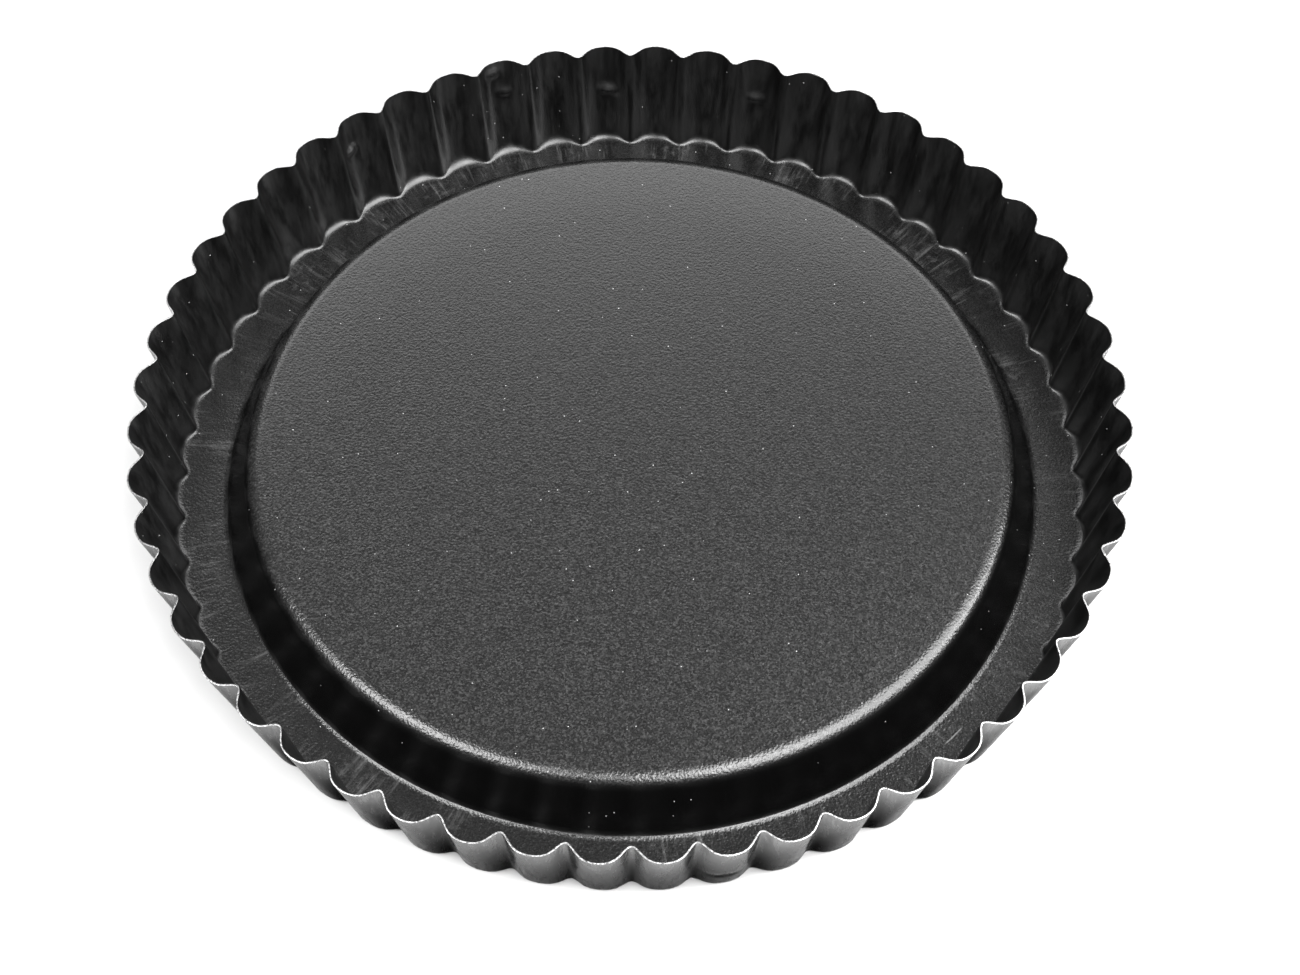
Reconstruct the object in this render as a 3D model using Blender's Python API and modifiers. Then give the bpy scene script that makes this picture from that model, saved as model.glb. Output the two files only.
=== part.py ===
"""Fluted tart pan with a raised centre: one pressed sheet of steel with a nonstick film baked on its inside.

Units are metres, +Z is up, and the origin is the centre of the base, on the surface that the pan stands on.
The profile is drawn on the steel's inside face, where the film meets it. The steel lies below and outside
that face, and the film above and inside it.
"""

import math

import bmesh
import bpy
from mathutils import Vector

# Driving dimensions.
OVERALL_RADIUS = 0.140
RIM_HEIGHT = 0.034
STEEL_THICKNESS = 0.0004
FILM_THICKNESS = 0.00006
FILM_CLEARANCE = 0.00004

# The fluted wall: broad lobes outward, with narrow ridges between them pointing inward.
FLUTE_COUNT = 52
RIM_FLUTE_DEPTH = 0.0046
FOOT_LOBE_RADIUS = 0.1318
FOOT_FLUTE_DEPTH = 0.0028
FOOT_BEND_RADIUS = 0.0016
RIM_DIP_ON_LOBES = 0.0006
LOBE_FULLNESS = 0.27
LOBE_FLATNESS = 0.05

# The raised centre, whose wall leans inward from the channel floor.
RAISED_HEIGHT = 0.0165
RAISED_BASE_RADIUS = 0.1163
RAISED_WALL_ANGLE = math.radians(64.8)
RAISED_BASE_BEND_RADIUS = 0.0030
SHOULDER_RADIUS = 0.0058

# How finely the surface is divided.
POINTS_PER_FLUTE = 6
WALL_POINTS_PER_RAISED_POINT = 4
FOOT_BEND_STEPS = 2
BASE_BEND_STEPS = 2
SHOULDER_STEPS = 3

# Worked out from the dimensions above.
FLOOR_Z = STEEL_THICKNESS
WALL_POINTS = FLUTE_COUNT * POINTS_PER_FLUTE
RAISED_POINTS = WALL_POINTS // WALL_POINTS_PER_RAISED_POINT
RIM_LOBE_RADIUS = OVERALL_RADIUS - STEEL_THICKNESS

OBJECT_NAME = "tart_pan"


def clear_scene():
    """Remove whatever the scene holds."""
    for existing in list(bpy.data.objects):
        bpy.data.objects.remove(existing, do_unlink=True)


def make_material(name, colour, roughness, metallic):
    """A Principled BSDF with one colour."""
    material = bpy.data.materials.new(name)
    material.use_nodes = True
    shader = material.node_tree.nodes["Principled BSDF"]
    shader.inputs["Base Color"].default_value = (*colour, 1.0)
    shader.inputs["Roughness"].default_value = roughness
    shader.inputs["Metallic"].default_value = metallic
    return material


def flute_shape(angle):
    """1 on the crest of a lobe and 0 on a ridge; a lobe's crest lies at angle 0."""
    phase = FLUTE_COUNT * angle
    shape = (1 + math.cos(phase)) / 2
    shape += LOBE_FULLNESS * (1 - math.cos(2 * phase)) / 2
    shape += LOBE_FLATNESS * (1 + math.cos(3 * phase)) / 2
    return shape / (1 + LOBE_FLATNESS)


def rounded_corner(before, corner, after, radius, steps):
    """Points along the arc that rounds a corner between two straight lines, in radius and height."""
    to_before = (before - corner).normalized()
    to_after = (after - corner).normalized()
    half_angle = to_before.angle(to_after) / 2
    bisector = (to_before + to_after).normalized()
    centre = corner + bisector * (radius / math.sin(half_angle))
    tangent_length = radius / math.tan(half_angle)
    first_spoke = (corner + to_before * tangent_length - centre).normalized()
    last_spoke = (corner + to_after * tangent_length - centre).normalized()
    return [centre + first_spoke.slerp(last_spoke, step / steps) * radius for step in range(steps + 1)]


def raised_profile():
    """The raised centre in section, as radius and height, from the edge of its flat top out to the floor."""
    top_z = FLOOR_Z + RAISED_HEIGHT
    top_radius = RAISED_BASE_RADIUS - RAISED_HEIGHT / math.tan(RAISED_WALL_ANGLE)
    centre = Vector((0, top_z))
    shoulder = Vector((top_radius, top_z))
    base = Vector((RAISED_BASE_RADIUS, FLOOR_Z))
    floor = Vector((FOOT_LOBE_RADIUS, FLOOR_Z))
    over_shoulder = rounded_corner(centre, shoulder, base, SHOULDER_RADIUS, SHOULDER_STEPS)
    onto_floor = rounded_corner(shoulder, base, floor, RAISED_BASE_BEND_RADIUS, BASE_BEND_STEPS)
    return over_shoulder + onto_floor


def wall_profile(angle):
    """The fluted wall in section at one angle, as radius and height, from the floor up to the rim."""
    inward = 1 - flute_shape(angle)
    floor = Vector((RAISED_BASE_RADIUS, FLOOR_Z))
    foot = Vector((FOOT_LOBE_RADIUS - FOOT_FLUTE_DEPTH * inward, FLOOR_Z))
    rim_z = RIM_HEIGHT - RIM_DIP_ON_LOBES * (1 - inward)
    rim = Vector((RIM_LOBE_RADIUS - RIM_FLUTE_DEPTH * inward, rim_z))
    return rounded_corner(floor, foot, rim, FOOT_BEND_RADIUS, FOOT_BEND_STEPS) + [rim]


def make_ring(mesh, points, profile_at, row):
    """Vertices around the axis, each at its own angle on the given row of the profile there."""
    ring = []
    for index in range(points):
        angle = math.tau * index / points
        radius, height = profile_at(angle)[row]
        ring.append(mesh.verts.new((radius * math.cos(angle), radius * math.sin(angle), height)))
    return ring


def join_rings(mesh, inner, outer):
    """Faces between two rings; the outer ring may have a whole number of points for each inner one."""
    ratio = len(outer) // len(inner)
    for index, corner in enumerate(inner):
        next_corner = inner[(index + 1) % len(inner)]
        outer_run = [outer[(index * ratio + step) % len(outer)] for step in range(ratio + 1)]
        mesh.faces.new([corner, *outer_run, next_corner])


def make_sheet():
    """The steel's inside face as an open surface of triangles, with its normals into the pan."""
    sheet = bmesh.new()
    raised = raised_profile()
    rings = [make_ring(sheet, RAISED_POINTS, lambda angle: raised, row) for row in range(len(raised))]
    wall_rows = len(wall_profile(0))
    rings += [make_ring(sheet, WALL_POINTS, wall_profile, row) for row in range(wall_rows)]
    sheet.faces.new(rings[0])
    for inner, outer in zip(rings, rings[1:]):
        join_rings(sheet, inner, outer)
    bmesh.ops.triangulate(sheet, faces=sheet.faces[:])
    sheet.normal_update()
    return sheet


def lift_along_normals(sheet, distance):
    """Move the whole surface into the pan by the same distance everywhere."""
    moves = [(vert, vert.normal * distance * vert.calc_shell_factor()) for vert in sheet.verts]
    for vert, move in moves:
        vert.co += move


def add_layer(name, lift, thickness, side, material, collection):
    """A layer of even thickness, on the given side of the sheet's surface after lifting it."""
    sheet = make_sheet()
    lift_along_normals(sheet, lift)
    mesh = bpy.data.meshes.new(name)
    sheet.to_mesh(mesh)
    sheet.free()
    mesh.materials.append(material)
    mesh.shade_smooth()
    mesh.set_sharp_from_angle(angle=math.radians(50))
    layer = bpy.data.objects.new(name, mesh)
    collection.objects.link(layer)
    solidify = layer.modifiers.new("thickness", "SOLIDIFY")
    solidify.thickness = thickness
    solidify.offset = side
    solidify.use_even_offset = True
    return layer


def main():
    clear_scene()
    collection = bpy.data.collections.new(OBJECT_NAME)
    bpy.context.scene.collection.children.link(collection)
    root = bpy.data.objects.new(OBJECT_NAME, None)
    collection.objects.link(root)
    steel = make_material("satin_steel", (0.45, 0.45, 0.45), 0.35, 1.0)
    nonstick = make_material("black_nonstick", (0.02, 0.02, 0.02), 0.5, 0.0)
    below, above = -1, 1
    layers = [
        add_layer("steel_pan", 0, STEEL_THICKNESS, below, steel, collection),
        add_layer("nonstick_lining", FILM_CLEARANCE, FILM_THICKNESS, above, nonstick, collection),
    ]
    for layer in layers:
        layer.parent = root


main()
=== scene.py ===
# Looks of the fluted tart pan: a pressed steel sheet, bare outside and lined with black nonstick inside.
# Units are metres in the frame of the CAD model: +Z up, the origin under the centre of the pan.
import math

import bmesh
import bpy
import numpy as np
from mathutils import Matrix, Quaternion, Vector


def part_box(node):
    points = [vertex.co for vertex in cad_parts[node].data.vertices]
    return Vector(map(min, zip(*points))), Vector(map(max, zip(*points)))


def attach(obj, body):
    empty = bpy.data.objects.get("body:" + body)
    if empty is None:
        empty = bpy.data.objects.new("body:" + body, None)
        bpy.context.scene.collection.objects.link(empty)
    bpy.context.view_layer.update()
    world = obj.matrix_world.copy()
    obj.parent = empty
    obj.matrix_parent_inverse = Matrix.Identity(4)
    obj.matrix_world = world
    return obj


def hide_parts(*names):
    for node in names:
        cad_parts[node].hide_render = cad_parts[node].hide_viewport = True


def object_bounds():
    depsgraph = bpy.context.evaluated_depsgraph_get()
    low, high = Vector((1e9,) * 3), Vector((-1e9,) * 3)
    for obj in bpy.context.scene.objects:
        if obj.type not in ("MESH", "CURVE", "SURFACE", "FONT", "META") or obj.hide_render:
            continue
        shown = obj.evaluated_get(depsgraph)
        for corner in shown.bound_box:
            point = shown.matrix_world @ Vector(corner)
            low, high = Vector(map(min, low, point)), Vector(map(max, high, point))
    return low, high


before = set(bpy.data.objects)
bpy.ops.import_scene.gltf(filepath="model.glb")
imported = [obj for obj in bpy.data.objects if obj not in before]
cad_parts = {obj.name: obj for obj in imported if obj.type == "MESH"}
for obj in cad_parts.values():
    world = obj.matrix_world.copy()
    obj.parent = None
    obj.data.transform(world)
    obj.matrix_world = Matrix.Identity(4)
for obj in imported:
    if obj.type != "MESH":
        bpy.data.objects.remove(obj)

cad_low, cad_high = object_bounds()
_, steel_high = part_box("steel_pan")

MM = 0.001

# The sheet. The profile is drawn on the steel's inside face, where the film meets it.
STEEL_THICKNESS = 0.4 * MM
STEEL_EDGE_BEVEL = 0.08 * MM
FILM_THICKNESS = 0.06 * MM
FILM_EDGE_BEVEL = 0.02 * MM
FILM_CLEARANCE = 0.04 * MM
FLOOR_Z = STEEL_THICKNESS
RIM_Z = steel_high.z
RIM_LOBE_RADIUS = steel_high.x - STEEL_THICKNESS

# The fluted wall: broad lobes outward, with narrow ridges between them pointing inward.
FLUTE_COUNT = 52
FLUTE_PITCH = math.tau / FLUTE_COUNT
RIM_FLUTE_DEPTH = 4.6 * MM
FOOT_LOBE_RADIUS = 131.8 * MM
FOOT_FLUTE_DEPTH = 2.8 * MM
RIDGE_FOOT_BEND = 1.5 * MM
LOBE_FOOT_BEND = 3.2 * MM
RIM_DIP_ON_LOBES = 0.6 * MM
LOBE_FULLNESS = 0.27
LOBE_FLATNESS = 0.05

# The raised centre.
RAISED_HEIGHT = 16.5 * MM
RAISED_BASE_RADIUS = 116.3 * MM
RAISED_WALL_ANGLE = math.radians(64.8)
RAISED_BASE_BEND_RADIUS = 3.0 * MM
SHOULDER_RADIUS = 5.8 * MM
RAISED_TOP_RADIUS = RAISED_BASE_RADIUS - RAISED_HEIGHT / math.tan(RAISED_WALL_ANGLE)
RAISED_TOP_Z = FLOOR_Z + RAISED_HEIGHT

# The middle of the channel between the raised centre and the fluted wall.
CHANNEL_RADIUS = 123 * MM

# How finely the surface is divided.
POINTS_PER_FLUTE = 16
RIDGE_CROWDING = 0.42
RAISED_RATIO = 4
TOP_RINGS = 5
SHOULDER_STEPS = 12
RAISED_WALL_STEPS = 3
BASE_BEND_STEPS = 8
CHANNEL_STEPS = 4
FOOT_BEND_STEPS = 8
WALL_STEPS = 36
EDGE_SEGMENTS = 2
EDGE_ANGLE = math.radians(60)

# Which side of the drawn surface a layer lies on.
OUTWARD = -1
INWARD = 1

# Small unevenness of a pressed and used pan, always inward and downward from the ideal shape.
SEED = 7
LOBE_PUSH = 0.28 * MM
RIM_DROP = 0.22 * MM
BURR = 0.07 * MM

# Where the foot bend came out rounder than elsewhere: the middle and the spread of the angles, and how much.
WIDE_BEND_ANGLE = math.radians(118)
WIDE_BEND_SPREAD = math.radians(11)
WIDE_BEND_EXTRA = 1.5 * MM

# Dings: angle in degrees, height, half-length along the wall, half-height and depth, which is inward.
DINGS = [
    (132.75, 22.6 * MM, 1.2 * MM, 0.9 * MM, 1.25 * MM),
    (96.45, 18.5 * MM, 1.4 * MM, 1.0 * MM, 1.50 * MM),
    (76.7, 19.8 * MM, 1.2 * MM, 0.9 * MM, 1.25 * MM),
    (111.6, 29.9 * MM, 1.3 * MM, 1.2 * MM, 1.30 * MM),
    (110.3, 22.4 * MM, 0.9 * MM, 0.9 * MM, 1.20 * MM),
    (283.6, 11.3 * MM, 3.2 * MM, 0.9 * MM, 0.30 * MM),
]


def flute_shape(angle):
    """1 on the crest of a lobe and 0 on a ridge; a lobe's crest lies at angle 0."""
    phase = FLUTE_COUNT * angle
    shape = (1 + np.cos(phase)) / 2
    shape += LOBE_FULLNESS * (1 - np.cos(2 * phase)) / 2
    shape += LOBE_FLATNESS * (1 + np.cos(3 * phase)) / 2
    return shape / (1 + LOBE_FLATNESS)


def ring_angles():
    """Angles around the pan, closer together near the ridges, where the sheet turns sharply."""
    even = math.tau * np.arange(POINTS_PER_FLUTE) / POINTS_PER_FLUTE
    crowded = (even + RIDGE_CROWDING * np.sin(even)) / FLUTE_COUNT
    return np.concatenate([flute * FLUTE_PITCH + crowded for flute in range(FLUTE_COUNT)])


def rounded_corner(before, corner, after, radius, steps):
    """Points along the arc that rounds a corner between two straight lines, in radius and height."""
    before, corner, after = Vector(before), Vector(corner), Vector(after)
    to_before = (before - corner).normalized()
    to_after = (after - corner).normalized()
    half_angle = to_before.angle(to_after) / 2
    bisector = (to_before + to_after).normalized()
    centre = corner + bisector * (radius / math.sin(half_angle))
    tangent_length = radius / math.tan(half_angle)
    first_spoke = (corner + to_before * tangent_length - centre).normalized()
    last_spoke = (corner + to_after * tangent_length - centre).normalized()
    return [centre + first_spoke.slerp(last_spoke, step / steps) * radius for step in range(steps + 1)]


def between(start, end, steps):
    """Points between two others, without either of them."""
    return [Vector(start).lerp(Vector(end), step / steps) for step in range(1, steps)]


def raised_profile():
    """The raised centre in section, from near the axis out to the channel floor."""
    centre = (0, RAISED_TOP_Z)
    shoulder = (RAISED_TOP_RADIUS, RAISED_TOP_Z)
    base = (RAISED_BASE_RADIUS, FLOOR_Z)
    floor = (FOOT_LOBE_RADIUS, FLOOR_Z)
    over_shoulder = rounded_corner(centre, shoulder, base, SHOULDER_RADIUS, SHOULDER_STEPS)
    onto_floor = rounded_corner(shoulder, base, floor, RAISED_BASE_BEND_RADIUS, BASE_BEND_STEPS)
    top = between(centre, over_shoulder[0], TOP_RINGS)
    wall = between(over_shoulder[-1], onto_floor[0], RAISED_WALL_STEPS)
    return top + over_shoulder + wall + onto_floor


def wall_profile(angle, push, drop, raised_edge):
    """The channel floor, the foot and the fluted wall in section at one angle, out and up to the rim."""
    inward = 1 - flute_shape(angle)
    foot = (FOOT_LOBE_RADIUS - FOOT_FLUTE_DEPTH * inward, FLOOR_Z)
    rim_radius = RIM_LOBE_RADIUS - RIM_FLUTE_DEPTH * inward - push
    rim = (rim_radius, RIM_Z - RIM_DIP_ON_LOBES * (1 - inward) - drop)
    off_wide_bend = (angle - WIDE_BEND_ANGLE) / WIDE_BEND_SPREAD
    bend = LOBE_FOOT_BEND + WIDE_BEND_EXTRA * math.exp(-(off_wide_bend**2) / 2)
    bend += (RIDGE_FOOT_BEND - bend) * inward
    up_foot = rounded_corner(raised_edge, foot, rim, bend, FOOT_BEND_STEPS)
    floor = between(raised_edge, up_foot[0], CHANNEL_STEPS)
    wall = between(up_foot[-1], rim, WALL_STEPS)
    return floor + up_foot + wall + [Vector(rim)]


def unevenness(angles):
    """How far the rim lies inward and down at each angle: a little at each flute, with a fine burr."""
    chance = np.random.default_rng(SEED)
    push = chance.uniform(0, LOBE_PUSH, FLUTE_COUNT)
    drop = chance.uniform(0, RIM_DROP, FLUTE_COUNT)
    burr = chance.uniform(0, BURR, len(angles))
    flutes = np.arange(FLUTE_COUNT) * FLUTE_PITCH
    push_here = np.interp(angles, flutes, push, period=math.tau)
    drop_here = np.interp(angles, flutes, drop, period=math.tau)
    return push_here, drop_here + (burr + np.roll(burr, 1)) / 2


def ding_depth(angles, height):
    """How far the dings push the wall inward along a ring."""
    depth = np.zeros(len(angles))
    for degrees, middle, half_length, half_height, deepest in DINGS:
        turn = (angles - math.radians(degrees) + math.pi) % math.tau - math.pi
        along = turn * FOOT_LOBE_RADIUS / half_length
        up = (height - middle) / half_height
        depth += deepest * np.exp(-(along**2 + up**2) / 2)
    return depth


def make_rings():
    """Rings of points from the middle of the raised centre out to the rim, as arrays of x, y and z."""
    angles = ring_angles()
    push, drop = unevenness(angles)
    raised = raised_profile()
    raised_angles = angles[::RAISED_RATIO]
    rings = []
    for radius, height in raised:
        around = (radius * np.cos(raised_angles), radius * np.sin(raised_angles))
        rings.append(np.column_stack([*around, np.full(len(raised_angles), height)]))
    places = zip(angles, push, drop)
    sections = np.array([[tuple(point) for point in wall_profile(*place, raised[-1])] for place in places])
    for radius, height in sections.transpose(1, 2, 0):
        radius = radius - ding_depth(angles, height)
        rings.append(np.column_stack([radius * np.cos(angles), radius * np.sin(angles), height]))
    return rings


def join_rings(mesh, inner, outer):
    """Faces between two rings; the outer ring may have a whole number of points for each inner one."""
    ratio = len(outer) // len(inner)
    for index, corner in enumerate(inner):
        next_corner = inner[(index + 1) % len(inner)]
        outer_run = [outer[(index * ratio + step) % len(outer)] for step in range(ratio + 1)]
        mesh.faces.new([corner, *outer_run, next_corner])


def make_sheet():
    """The steel's inside face as an open surface, with its normals into the pan."""
    sheet = bmesh.new()
    rings = [[sheet.verts.new(point) for point in ring] for ring in make_rings()]
    sheet.faces.new(rings[0])
    for inner, outer in zip(rings, rings[1:]):
        join_rings(sheet, inner, outer)
    sheet.normal_update()
    return sheet


def lift_along_normals(sheet, distance):
    """Move the whole surface into the pan by the same distance everywhere."""
    moves = [(vert, vert.normal * distance * vert.calc_shell_factor()) for vert in sheet.verts]
    for vert, move in moves:
        vert.co += move


def add_layer(name, node, lift, thickness, side, edge_bevel, materials):
    """A layer of even thickness with slightly rounded edges, standing for one CAD node."""
    sheet = make_sheet()
    lift_along_normals(sheet, lift)
    mesh = bpy.data.meshes.new(name)
    sheet.to_mesh(mesh)
    sheet.free()
    for material in materials:
        mesh.materials.append(material)
    mesh.shade_smooth()
    layer = bpy.data.objects.new(name, mesh)
    bpy.context.scene.collection.objects.link(layer)
    solidify = layer.modifiers.new("thickness", "SOLIDIFY")
    solidify.thickness = thickness
    solidify.offset = side
    solidify.use_even_offset = True
    solidify.material_offset_rim = len(materials) - 1
    bevel = layer.modifiers.new("edge", "BEVEL")
    bevel.width = edge_bevel
    bevel.segments = EDGE_SEGMENTS
    bevel.limit_method = "ANGLE"
    bevel.angle_limit = EDGE_ANGLE
    bevel.harden_normals = True
    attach(layer, "root")
    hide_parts(node)


# Materials. A pair holds the two ends of a fade: of places, noise values, greys (albedo) or roughnesses.

# The values that most of a noise lies between.
MOST_NOISE = (0.3, 0.7)

# The film's kinds of surface: the raised top, the raised wall, the channel floor and the fluted wall.
RAISED_BASE_FADE = (RAISED_BASE_RADIUS + 3 * MM, RAISED_BASE_RADIUS)
RAISED_TOP_FADE = (RAISED_TOP_Z - 2.0 * MM, RAISED_TOP_Z - 0.7 * MM)
CHANNEL_FLOOR_FADE = (FLOOR_Z + 0.6 * MM, FLOOR_Z + 0.25 * MM)

# The film on the flat parts: sandy speckle over a fine grain, both stronger in front (-Y) than behind. The
# speckle itself is the film's own; its extra brightness in front is painted sparkle, standing for the
# highlight grain the lamps raise on the near side.
FRONT_TO_BACK = (-100 * MM, 100 * MM)
SAND_SIZE = 0.42 * MM
SAND_POWER = 2.5
SAND_DARK_GREY = 0.0010
SAND_BRIGHT_GREY_AND_PAINTED_SPARKLE = (0.0180, 0.0045)
SAND_BRIGHT_GREY_IN_CHANNEL = 0.0045
SAND_ROUGHNESS = (0.22, 0.305)
GRAIN_SIZE = 0.70 * MM
GRAIN_DEPTH = 0.12 * MM
GRAIN_STRENGTH = (1.2, 0.55)
GRAIN_STRENGTH_ON_WALLS = 0.15

# The film on the drawn parts: scuffs up the fluted wall, which come and go, and a plain raised wall, whose
# grey is set darker than the rest of the film as painted shade.
SCUFF_SIZE = 3 * MM
SCUFF_STRETCH = (1, 1, 0.15)
SCUFF_CUT = (0.40, 0.70)
SCUFF_GREY = (0.0010, 0.0038)
SCUFF_ROUGHNESS = (0.28, 0.40)
SCUFF_CLOUD_SIZE = 25 * MM
SCUFF_CLOUD_GAIN = (0.5, 1.3)
RAISED_WALL_PAINTED_SHADE_GREY = 0.0006
RAISED_WALL_ROUGHNESS = 0.24

# Pale specks of dust on the film.
DUST_SPACING = 2.2 * MM
DUST_SIZE = 0.20 * MM
DUST_SHARE = 0.14
DUST_GREY = 0.30

# Marks in the channel. A cut is the pair of noise values between which a mark comes in.
MARK_GREY = 0.035
STREAK_SIZE = 1.3 * MM
STREAK_SQUEEZE = 0.08
STREAK_CUT = (0.50, 0.75)
SMUDGE_SIZE = 2.5 * MM
SMUDGE_CUT = (0.48, 0.72)
SMUDGE_STRENGTH = 0.6
PATCH_SIZE = 16 * MM
STREAK_PATCH_CUT = (0.38, 0.60)
SMUDGE_PATCH_CUT = (0.48, 0.66)
SCRATCH_ANGLE = math.radians(-41.5)
SCRATCH_HALF_TURN = (math.radians(1.8), math.radians(1.2))
SCRATCH_HALF_WIDTH = (0.28 * MM, 0.10 * MM)
SCRATCH_STRENGTH = 3.0

# The steel outside: streaks from the drawing die, cloudy tarnish and painted shade that darkens it towards
# the foot, standing for the dark shadowed floor that the flared wall reflects there.
DIE_STREAK_SIZE = 1.6 * MM
DIE_STREAK_STRETCH = (1, 1, 0.05)
DIE_STREAK_CUT = (0.25, 0.75)
DIE_STREAK_GAIN = (0.85, 1.15)
DIE_STREAK_DEPTH = 0.015 * MM
TARNISH_SIZE = 9 * MM
TARNISH_GREY = (0.285, 0.345)
STEEL_ROUGHNESS = (0.20, 0.30)
PAINTED_FOOT_SHADE_POWER = 2.1
UNDERSIDE_RADIUS = FOOT_LOBE_RADIUS - FOOT_FLUTE_DEPTH
UNDERSIDE_FADE = (UNDERSIDE_RADIUS - 0.5 * MM, UNDERSIDE_RADIUS - 2.5 * MM)

# The sheared edge of the sheet.
SHEAR_SIZE = 0.6 * MM
SHEAR_GREY = (0.22, 0.45)
SHEAR_ROUGHNESS = (0.25, 0.4)
SHEAR_DEPTH = 0.03 * MM

# The ground that the pan stands on.
GROUND_SIZE = 8.0
GROUND_GAP = 0.05 * MM
GROUND_MOTTLE_SIZE = 80 * MM
GROUND_MOTTLE_CUT = (0.2, 0.8)
GROUND_GREY = (0.44, 0.46)
GROUND_ROUGHNESS = 0.8


class Nodes:
    """A short way to build a material's node tree."""

    def __init__(self, name):
        self.material = bpy.data.materials.new(name)
        self.material.use_nodes = True
        self.tree = self.material.node_tree
        self.shader = self.tree.nodes["Principled BSDF"]

    def add(self, kind, **settings):
        node = self.tree.nodes.new(kind)
        for key, value in settings.items():
            setattr(node, key, value)
        return node

    def link(self, source, target):
        self.tree.links.new(source, target)

    def put(self, value, socket):
        """Plug a socket or write a number."""
        if isinstance(value, bpy.types.NodeSocket):
            self.link(value, socket)
        else:
            socket.default_value = value

    def set(self, **sockets):
        """Plug or write the shader's sockets; an underscore in a name stands for a space."""
        for name, value in sockets.items():
            self.put(value, self.shader.inputs[name.replace("_", " ")])

    def math(self, operation, *values):
        node = self.add("ShaderNodeMath", operation=operation)
        for value, socket in zip(values, node.inputs):
            self.put(value, socket)
        return node.outputs[0]

    def times(self, product, *others):
        for other in others:
            product = self.math("MULTIPLY", product, other)
        return product

    def plus(self, total, *others):
        for other in others:
            total = self.math("ADD", total, other)
        return total

    def off(self, value, middle):
        """How far a value lies from the middle, either way."""
        return self.math("ABSOLUTE", self.math("SUBTRACT", value, middle))

    def position(self):
        return self.add("ShaderNodeTexCoord").outputs["Object"]

    def axes(self, vector):
        node = self.add("ShaderNodeSeparateXYZ")
        self.link(vector, node.inputs[0])
        return node.outputs[:]

    def from_axis(self, x, y):
        """Distance from the pan's axis."""
        return self.math("SQRT", self.plus(self.times(x, x), self.times(y, y)))

    def stretch(self, vector, scale):
        node = self.add("ShaderNodeMapping")
        self.link(vector, node.inputs["Vector"])
        node.inputs["Scale"].default_value = scale
        return node.outputs[0]

    def noise(self, vector, size, detail=2.0, roughness=0.5):
        """Noise whose features are about size across, from 0 to 1."""
        node = self.add("ShaderNodeTexNoise")
        self.link(vector, node.inputs["Vector"])
        node.inputs["Scale"].default_value = 1 / size
        node.inputs["Detail"].default_value = detail
        node.inputs["Roughness"].default_value = roughness
        return node.outputs["Fac"]

    def spots(self, vector, size):
        """Distance to the nearest of scattered points, and a colour of its own for each point."""
        node = self.add("ShaderNodeTexVoronoi")
        self.link(vector, node.inputs["Vector"])
        node.inputs["Scale"].default_value = 1 / size
        return node.outputs["Distance"], node.outputs["Color"]

    def specks(self, vector, spacing, size, share):
        """1 on small round specks, which the given share of the cells hold, and 0 elsewhere."""
        distance, colour = self.spots(vector, spacing)
        chosen = self.math("LESS_THAN", self.axes(colour)[0], share)
        inside = self.fade(distance, size / spacing, 0.5 * size / spacing)
        return self.times(chosen, inside)

    def fade(self, value, low, high, to_low=0.0, to_high=1.0):
        """Map a value smoothly from one range to another, held at the ends."""
        node = self.add("ShaderNodeMapRange", interpolation_type="SMOOTHSTEP")
        for name, number in (("From Min", low), ("From Max", high), ("To Min", to_low), ("To Max", to_high)):
            self.put(number, node.inputs[name])
        self.link(value, node.inputs["Value"])
        return node.outputs["Result"]

    def mix(self, factor, first, second):
        """The first value at factor 0 and the second at factor 1."""
        node = self.add("ShaderNodeMix", data_type="FLOAT")
        self.put(factor, node.inputs[0])
        self.put(first, node.inputs[2])
        self.put(second, node.inputs[3])
        return node.outputs[0]

    def grey(self, value):
        node = self.add("ShaderNodeCombineColor")
        for socket in node.inputs[:3]:
            self.link(value, socket)
        return node.outputs[0]

    def bump(self, height, distance, strength=1.0):
        node = self.add("ShaderNodeBump")
        node.inputs["Strength"].default_value = strength
        node.inputs["Distance"].default_value = distance
        self.link(height, node.inputs["Height"])
        return node.outputs[0]


def scratch(n, radius, angle):
    """One short scratch along the channel."""
    thin = n.fade(n.off(radius, CHANNEL_RADIUS), *SCRATCH_HALF_WIDTH)
    short = n.fade(n.off(angle, SCRATCH_ANGLE), *SCRATCH_HALF_TURN)
    return n.times(thin, short, SCRATCH_STRENGTH)


def channel_marks(n, place, radius, angle):
    """Fine streaks across the channel, a few wiped smudges and the scratch."""
    unrolled = n.add("ShaderNodeCombineXYZ")
    n.link(n.times(angle, CHANNEL_RADIUS), unrolled.inputs[0])
    n.link(n.times(radius, STREAK_SQUEEZE), unrolled.inputs[1])
    streaks = n.noise(unrolled.outputs[0], STREAK_SIZE, detail=3.0, roughness=0.7)
    smudges = n.noise(place, SMUDGE_SIZE, detail=4.0, roughness=0.7)
    patches = n.noise(place, PATCH_SIZE)
    streaked = n.times(n.fade(streaks, *STREAK_CUT), n.fade(patches, *STREAK_PATCH_CUT))
    smudged = n.times(n.fade(smudges, *SMUDGE_CUT), n.fade(patches, *SMUDGE_PATCH_CUT))
    return n.plus(streaked, n.times(smudged, SMUDGE_STRENGTH), scratch(n, radius, angle))


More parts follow.
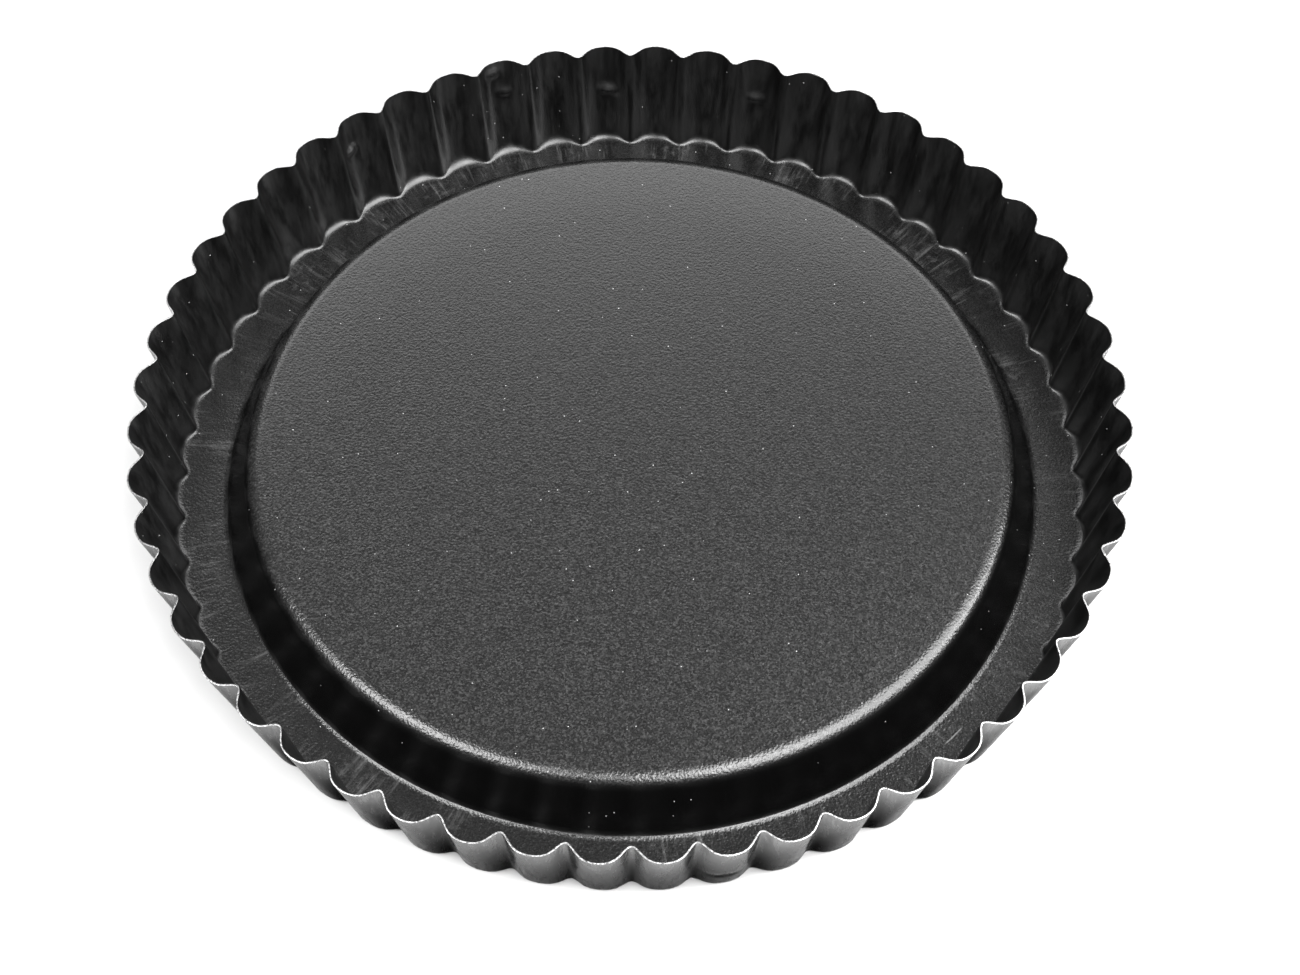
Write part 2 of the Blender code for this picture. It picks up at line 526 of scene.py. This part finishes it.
def nonstick_material():
    """Black baked film: sandy speckle on the flat parts, stronger in front where it carries painted sparkle,
    smoother drawn walls and a raised wall darkened with painted shade.
    """
    n = Nodes("nonstick_film")
    place = n.position()
    x, y, z = n.axes(place)
    radius = n.from_axis(x, y)
    angle = n.math("ARCTAN2", y, x)
    inside_base = n.fade(radius, *RAISED_BASE_FADE)
    on_top = n.times(inside_base, n.fade(z, *RAISED_TOP_FADE))
    on_floor = n.fade(z, *CHANNEL_FLOOR_FADE)
    on_raised_wall = n.math("SUBTRACT", inside_base, on_top)
    flat = n.math("MAXIMUM", on_top, on_floor)
    sand = n.axes(n.spots(place, SAND_SIZE)[1])
    grain = n.noise(place, GRAIN_SIZE, detail=1.0)
    drawn = n.noise(n.stretch(place, SCUFF_STRETCH), SCUFF_SIZE, detail=4.0, roughness=0.65)
    cloud = n.noise(place, SCUFF_CLOUD_SIZE, detail=3.0)

    # Painted sparkle: the sand's bright grey rises towards the front, on top of the film's own speckle.
    bright_sand_and_painted_sparkle = n.mix(on_floor, n.fade(y, *FRONT_TO_BACK, *SAND_BRIGHT_GREY_AND_PAINTED_SPARKLE), SAND_BRIGHT_GREY_IN_CHANNEL)
    grey_flat = n.fade(n.math("POWER", sand[0], SAND_POWER), 0.0, 1.0, SAND_DARK_GREY, bright_sand_and_painted_sparkle)
    scuffed = n.times(n.fade(drawn, *SCUFF_CUT, *SCUFF_GREY), n.fade(cloud, *MOST_NOISE, *SCUFF_CLOUD_GAIN))
    # Painted shade: the raised wall takes a darker grey than the rest of the film.
    grey_film = n.mix(flat, n.mix(on_raised_wall, scuffed, RAISED_WALL_PAINTED_SHADE_GREY), grey_flat)
    marks = n.times(channel_marks(n, place, radius, angle), on_floor, MARK_GREY)
    dust = n.times(n.specks(place, DUST_SPACING, DUST_SIZE, DUST_SHARE), DUST_GREY)

    rough_wall = n.mix(on_raised_wall, n.fade(drawn, *MOST_NOISE, *SCUFF_ROUGHNESS), RAISED_WALL_ROUGHNESS)
    roughness = n.mix(flat, rough_wall, n.fade(sand[1], 0.0, 1.0, *SAND_ROUGHNESS))
    strength = n.mix(flat, GRAIN_STRENGTH_ON_WALLS, n.fade(y, *FRONT_TO_BACK, *GRAIN_STRENGTH))
    n.set(
        Base_Color=n.grey(n.plus(marks, dust, grey_film)),
        Roughness=roughness,
        Normal=n.bump(n.times(grain, strength), GRAIN_DEPTH),
    )
    n.shader.inputs["IOR"].default_value = 1.5
    return n.material


def steel_material():
    """Bare satin steel: streaked by the drawing die, darker towards the wall's foot with painted shade for
    the dark floor it reflects there, plain underneath.
    """
    n = Nodes("satin_steel")
    place = n.position()
    x, y, z = n.axes(place)
    streaks = n.noise(n.stretch(place, DIE_STREAK_STRETCH), DIE_STREAK_SIZE, detail=3.0, roughness=0.6)
    cloud = n.noise(place, TARNISH_SIZE, detail=4.0, roughness=0.6)
    height = n.math("DIVIDE", n.math("MAXIMUM", z, 0.0), RIM_Z)
    underneath = n.fade(n.from_axis(x, y), *UNDERSIDE_FADE)
    # Painted shade: the grey falls towards the wall's foot, standing for the reflected shadow under the
    # flared wall; underneath it stays plain.
    painted_foot_shade = n.mix(underneath, n.math("POWER", height, PAINTED_FOOT_SHADE_POWER), 1.0)
    tarnish = n.fade(cloud, *MOST_NOISE, *TARNISH_GREY)
    streaked = n.fade(streaks, *DIE_STREAK_CUT, *DIE_STREAK_GAIN)
    n.set(
        Base_Color=n.grey(n.times(tarnish, streaked, painted_foot_shade)),
        Metallic=1.0,
        Roughness=n.fade(streaks, *MOST_NOISE, *STEEL_ROUGHNESS),
        Normal=n.bump(streaks, DIE_STREAK_DEPTH, strength=0.5),
    )
    n.shader.inputs["Specular Tint"].default_value = (0.4, 0.4, 0.4, 1.0)
    return n.material


def cut_edge_material():
    """The sheared edge of the sheet, brighter than its faces."""
    n = Nodes("cut_edge")
    shear = n.noise(n.position(), SHEAR_SIZE, detail=3.0)
    n.set(
        Base_Color=n.grey(n.fade(shear, *MOST_NOISE, *SHEAR_GREY)),
        Metallic=1.0,
        Roughness=n.fade(shear, *MOST_NOISE, *SHEAR_ROUGHNESS),
        Normal=n.bump(shear, SHEAR_DEPTH, strength=0.5),
    )
    return n.material


def ground_material():
    """Plain pale ground."""
    n = Nodes("pale_floor")
    mottle = n.noise(n.position(), GROUND_MOTTLE_SIZE)
    n.set(Base_Color=n.grey(n.fade(mottle, *GROUND_MOTTLE_CUT, *GROUND_GREY)), Roughness=GROUND_ROUGHNESS)
    return n.material


# Studio. Azimuth 0 is in front, at -Y, and 90 degrees is at +X.
VIEW_AZIMUTH = math.radians(2.74)
VIEW_ELEVATION = math.radians(55.71)
VIEW_ROLL = math.radians(0.46)
VIEW_DISTANCE = 633.1 * MM
VIEW_AIM = Vector((6.89 * MM, -27.90 * MM, RIM_Z))
VIEW_CLIP_START = 10 * MM

# The camera's own units are millimetres.
LENS = 64.41
SENSOR_WIDTH = 36

# Each softbox: azimuth and elevation in degrees, distance, width and height in metres, power in watts.
SOFTBOXES = {
    "softbox_right": (66, 56, 1.2, 1.4, 0.85, 46),
    "softbox_left": (-57, 53, 1.2, 0.7, 0.55, 23),
    "front_fill": (40, 60, 1.2, 0.5, 0.4, 6),
    "side_fill": (95, 25, 1.2, 0.6, 0.4, 18),
    "back_fill": (186, 38, 1.5, 1.8, 0.5, 12),
}
WORLD_COLOUR = (1, 1, 1, 1)
WORLD_STRENGTH = 0.5


def direction(azimuth, elevation):
    """From the pan towards a place round it."""
    level = math.cos(elevation)
    return Vector((math.sin(azimuth) * level, -math.cos(azimuth) * level, math.sin(elevation)))


def facing_back(towards):
    """The turn that makes a camera or a light in that direction look back the other way."""
    return (-towards).to_track_quat("-Z", "Y")


def add_camera():
    camera = bpy.data.objects.new("camera", bpy.data.cameras.new("camera"))
    bpy.context.scene.collection.objects.link(camera)
    towards = direction(VIEW_AZIMUTH, VIEW_ELEVATION)
    camera.location = VIEW_AIM + towards * VIEW_DISTANCE
    camera.rotation_mode = "QUATERNION"
    camera.rotation_quaternion = facing_back(towards) @ Quaternion((0, 0, 1), VIEW_ROLL)
    camera.data.lens = LENS
    camera.data.sensor_width = SENSOR_WIDTH
    camera.data.clip_start = VIEW_CLIP_START
    bpy.context.scene.camera = camera


def add_softbox(name, azimuth, elevation, distance, width, height, power):
    """A soft area light that faces the pan."""
    lamp = bpy.data.lights.new(name, "AREA")
    lamp.shape = "RECTANGLE"
    lamp.size = width
    lamp.size_y = height
    lamp.energy = power
    towards = direction(math.radians(azimuth), math.radians(elevation))
    softbox = bpy.data.objects.new(name, lamp)
    softbox.location = towards * distance
    softbox.rotation_mode = "QUATERNION"
    softbox.rotation_quaternion = facing_back(towards)
    bpy.context.scene.collection.objects.link(softbox)


def add_ground():
    half = GROUND_SIZE / 2
    corners = [(-half, -half, 0), (half, -half, 0), (half, half, 0), (-half, half, 0)]
    mesh = bpy.data.meshes.new("floor")
    mesh.from_pydata(corners, [], [(0, 1, 2, 3)])
    mesh.materials.append(ground_material())
    floor = bpy.data.objects.new("floor", mesh)
    floor.location.z = cad_low.z - GROUND_GAP
    bpy.context.scene.collection.objects.link(floor)


def add_world():
    world = bpy.data.worlds.new("studio")
    world.use_nodes = True
    background = world.node_tree.nodes["Background"]
    background.inputs["Color"].default_value = WORLD_COLOUR
    background.inputs["Strength"].default_value = WORLD_STRENGTH
    bpy.context.scene.world = world
    bpy.context.scene.view_settings.view_transform = "Standard"


def add_pan():
    steel = [steel_material(), cut_edge_material()]
    film = [nonstick_material()]
    # Name, CAD node; lift off the drawn surface, thickness, side, bevel of the edges; materials.
    add_layer("pan_sheet", "steel_pan", 0, STEEL_THICKNESS, OUTWARD, STEEL_EDGE_BEVEL, steel)
    add_layer(
        "nonstick_film", "nonstick_lining",
        FILM_CLEARANCE, FILM_THICKNESS, INWARD, FILM_EDGE_BEVEL, film,
    )


def main():
    add_pan()
    add_camera()
    add_ground()
    for name, settings in SOFTBOXES.items():
        add_softbox(name, *settings)
    add_world()


main()
